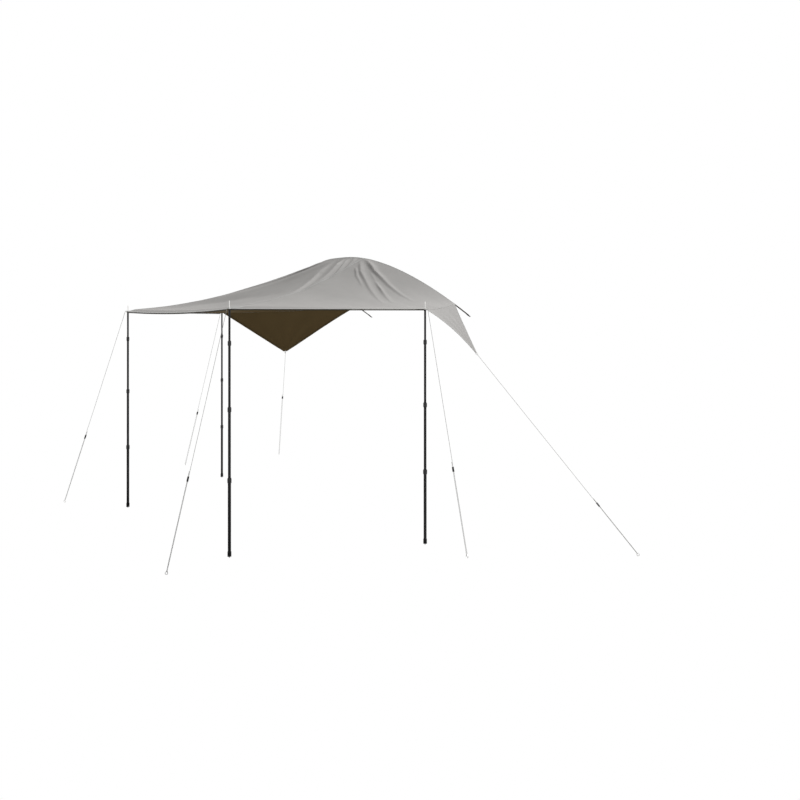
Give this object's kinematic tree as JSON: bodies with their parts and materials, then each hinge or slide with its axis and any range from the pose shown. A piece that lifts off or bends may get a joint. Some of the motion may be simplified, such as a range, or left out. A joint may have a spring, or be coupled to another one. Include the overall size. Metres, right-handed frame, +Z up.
{
  "type": "rooftop tent awning",
  "caption": "Fabric awning for a rooftop tent: a canopy from an arched edge to telescopic poles, with side wings, guy lines, sliding tensioners and ground stakes.",
  "frame": {"origin": "middle of the arched band's upper face, at the top of the tent's arch", "axes": "+X along the awning's width, to the right as seen from outside its front edge; +Y inwards, from the front edge to the tent; +Z up"},
  "size_m": [6.6058, 3.8447, 2.9692],
  "materials": {
    "grey_canvas": "matte",
    "dark_webbing": "matte",
    "black_tube": "satin",
    "black_plastic": "matte",
    "bright_steel": "satin",
    "pale_cord": "matte"
  },
  "bodies": {
    "canopy": {"canopy_front_panel": "grey_canvas", "canopy_right_panel": "grey_canvas", "canopy_left_panel": "grey_canvas", "canopy_right_wing": "grey_canvas", "canopy_left_wing": "grey_canvas", "arch_band": "dark_webbing", "arch_clip_right": "black_plastic", "arch_clip_left": "black_plastic", "wing_left_tip_ring": "bright_steel", "wing_right_tip_ring": "bright_steel", "front_left_corner_patch": "dark_webbing", "front_left_top_tube": "black_tube", "front_right_corner_patch": "dark_webbing", "front_right_top_tube": "black_tube", "side_left_corner_patch": "dark_webbing", "side_left_top_tube": "black_tube", "side_right_corner_patch": "dark_webbing", "side_right_top_tube": "black_tube", "front_left_guy_line": "pale_cord", "front_left_stake": "bright_steel", "front_right_guy_line": "pale_cord", "front_right_stake": "bright_steel", "side_left_guy_line": "pale_cord", "side_left_stake": "bright_steel", "side_right_guy_line": "pale_cord", "side_right_stake": "bright_steel", "wing_left_guy_line": "pale_cord", "wing_left_stake": "bright_steel", "wing_right_guy_line": "pale_cord", "wing_right_stake": "bright_steel"},
    "front_left_third": {"front_left_third_tube": "black_tube"},
    "front_left_second": {"front_left_second_tube": "black_tube"},
    "front_left_base": {"front_left_base_tube": "black_tube"},
    "front_left_upper_twist": {"front_left_upper_collar": "black_plastic"},
    "front_left_middle_twist": {"front_left_middle_collar": "black_plastic"},
    "front_left_lower_twist": {"front_left_lower_collar": "black_plastic"},
    "front_right_third": {"front_right_third_tube": "black_tube"},
    "front_right_second": {"front_right_second_tube": "black_tube"},
    "front_right_base": {"front_right_base_tube": "black_tube"},
    "front_right_upper_twist": {"front_right_upper_collar": "black_plastic"},
    "front_right_middle_twist": {"front_right_middle_collar": "black_plastic"},
    "front_right_lower_twist": {"front_right_lower_collar": "black_plastic"},
    "side_left_third": {"side_left_third_tube": "black_tube"},
    "side_left_second": {"side_left_second_tube": "black_tube"},
    "side_left_base": {"side_left_base_tube": "black_tube"},
    "side_left_upper_twist": {"side_left_upper_collar": "black_plastic"},
    "side_left_middle_twist": {"side_left_middle_collar": "black_plastic"},
    "side_left_lower_twist": {"side_left_lower_collar": "black_plastic"},
    "side_right_third": {"side_right_third_tube": "black_tube"},
    "side_right_second": {"side_right_second_tube": "black_tube"},
    "side_right_base": {"side_right_base_tube": "black_tube"},
    "side_right_upper_twist": {"side_right_upper_collar": "black_plastic"},
    "side_right_middle_twist": {"side_right_middle_collar": "black_plastic"},
    "side_right_lower_twist": {"side_right_lower_collar": "black_plastic"},
    "front_left_slider": {"front_left_tensioner": "black_plastic"},
    "front_right_slider": {"front_right_tensioner": "black_plastic"},
    "side_left_slider": {"side_left_tensioner": "black_plastic"},
    "side_right_slider": {"side_right_tensioner": "black_plastic"},
    "wing_left_slider": {"wing_left_tensioner": "black_plastic"},
    "wing_right_slider": {"wing_right_tensioner": "black_plastic"}
  },
  "joints": [
    {"name": "front_left_third_slide", "type": "slide", "parent": "canopy", "child": "front_left_third", "axis": [0, 0, 1], "range_m": [-0.26, 0.25]},
    {"name": "front_left_second_slide", "type": "slide", "parent": "front_left_third", "child": "front_left_second", "axis": [0, 0, 1], "range_m": [0, 0.53]},
    {"name": "front_left_base_slide", "type": "slide", "parent": "front_left_second", "child": "front_left_base", "axis": [0, 0, 1], "range_m": [0, 0.53]},
    {"name": "front_left_upper_collar_turn", "type": "hinge", "parent": "front_left_third", "child": "front_left_upper_twist", "pos_m": [-1.17, -2.0299, -2.78285], "axis": [0, 0, 1], "range_deg": [0, 90]},
    {"name": "front_left_middle_collar_turn", "type": "hinge", "parent": "front_left_second", "child": "front_left_middle_twist", "pos_m": [-1.17, -2.0299, -2.78285], "axis": [0, 0, 1], "range_deg": [0, 90]},
    {"name": "front_left_lower_collar_turn", "type": "hinge", "parent": "front_left_base", "child": "front_left_lower_twist", "pos_m": [-1.17, -2.0299, -2.78285], "axis": [0, 0, 1], "range_deg": [0, 90]},
    {"name": "front_right_third_slide", "type": "slide", "parent": "canopy", "child": "front_right_third", "axis": [0, 0, 1], "range_m": [-0.26, 0.25]},
    {"name": "front_right_second_slide", "type": "slide", "parent": "front_right_third", "child": "front_right_second", "axis": [0, 0, 1], "range_m": [0, 0.53]},
    {"name": "front_right_base_slide", "type": "slide", "parent": "front_right_second", "child": "front_right_base", "axis": [0, 0, 1], "range_m": [0, 0.53]},
    {"name": "front_right_upper_collar_turn", "type": "hinge", "parent": "front_right_third", "child": "front_right_upper_twist", "pos_m": [1.17, -2.0299, -2.78285], "axis": [0, 0, 1], "range_deg": [0, 90]},
    {"name": "front_right_middle_collar_turn", "type": "hinge", "parent": "front_right_second", "child": "front_right_middle_twist", "pos_m": [1.17, -2.0299, -2.78285], "axis": [0, 0, 1], "range_deg": [0, 90]},
    {"name": "front_right_lower_collar_turn", "type": "hinge", "parent": "front_right_base", "child": "front_right_lower_twist", "pos_m": [1.17, -2.0299, -2.78285], "axis": [0, 0, 1], "range_deg": [0, 90]},
    {"name": "side_left_third_slide", "type": "slide", "parent": "canopy", "child": "side_left_third", "axis": [0, 0, 1], "range_m": [-0.26, 0.25]},
    {"name": "side_left_second_slide", "type": "slide", "parent": "side_left_third", "child": "side_left_second", "axis": [0, 0, 1], "range_m": [0, 0.53]},
    {"name": "side_left_base_slide", "type": "slide", "parent": "side_left_second", "child": "side_left_base", "axis": [0, 0, 1], "range_m": [0, 0.53]},
    {"name": "side_left_upper_collar_turn", "type": "hinge", "parent": "side_left_third", "child": "side_left_upper_twist", "pos_m": [-1.985, -0.47491, -2.78285], "axis": [0, 0, 1], "range_deg": [0, 90]},
    {"name": "side_left_middle_collar_turn", "type": "hinge", "parent": "side_left_second", "child": "side_left_middle_twist", "pos_m": [-1.985, -0.47491, -2.78285], "axis": [0, 0, 1], "range_deg": [0, 90]},
    {"name": "side_left_lower_collar_turn", "type": "hinge", "parent": "side_left_base", "child": "side_left_lower_twist", "pos_m": [-1.985, -0.47491, -2.78285], "axis": [0, 0, 1], "range_deg": [0, 90]},
    {"name": "side_right_third_slide", "type": "slide", "parent": "canopy", "child": "side_right_third", "axis": [0, 0, 1], "range_m": [-0.26, 0.25]},
    {"name": "side_right_second_slide", "type": "slide", "parent": "side_right_third", "child": "side_right_second", "axis": [0, 0, 1], "range_m": [0, 0.53]},
    {"name": "side_right_base_slide", "type": "slide", "parent": "side_right_second", "child": "side_right_base", "axis": [0, 0, 1], "range_m": [0, 0.53]},
    {"name": "side_right_upper_collar_turn", "type": "hinge", "parent": "side_right_third", "child": "side_right_upper_twist", "pos_m": [1.985, -0.47491, -2.78285], "axis": [0, 0, 1], "range_deg": [0, 90]},
    {"name": "side_right_middle_collar_turn", "type": "hinge", "parent": "side_right_second", "child": "side_right_middle_twist", "pos_m": [1.985, -0.47491, -2.78285], "axis": [0, 0, 1], "range_deg": [0, 90]},
    {"name": "side_right_lower_collar_turn", "type": "hinge", "parent": "side_right_base", "child": "side_right_lower_twist", "pos_m": [1.985, -0.47491, -2.78285], "axis": [0, 0, 1], "range_deg": [0, 90]},
    {"name": "front_left_tensioner_slide", "type": "slide", "parent": "canopy", "child": "front_left_slider", "axis": [-0.3024, -0.1881, -0.9344], "range_m": [-0.02, 0.685]},
    {"name": "front_right_tensioner_slide", "type": "slide", "parent": "canopy", "child": "front_right_slider", "axis": [0.0291, -0.2565, -0.9661], "range_m": [-0.02, 0.645]},
    {"name": "side_left_tensioner_slide", "type": "slide", "parent": "canopy", "child": "side_left_slider", "axis": [-0.462, 0.0088, -0.8868], "range_m": [-0.02, 0.752]},
    {"name": "side_right_tensioner_slide", "type": "slide", "parent": "canopy", "child": "side_right_slider", "axis": [0.2267, 0.0035, -0.974], "range_m": [-0.02, 0.639]},
    {"name": "wing_left_tensioner_slide", "type": "slide", "parent": "canopy", "child": "wing_left_slider", "axis": [-0.5926, 0.3177, -0.7402], "range_m": [-0.02, 1.173]},
    {"name": "wing_right_tensioner_slide", "type": "slide", "parent": "canopy", "child": "wing_right_slider", "axis": [0.6839, 0.135, -0.717], "range_m": [-0.02, 0.42]}
  ]
}
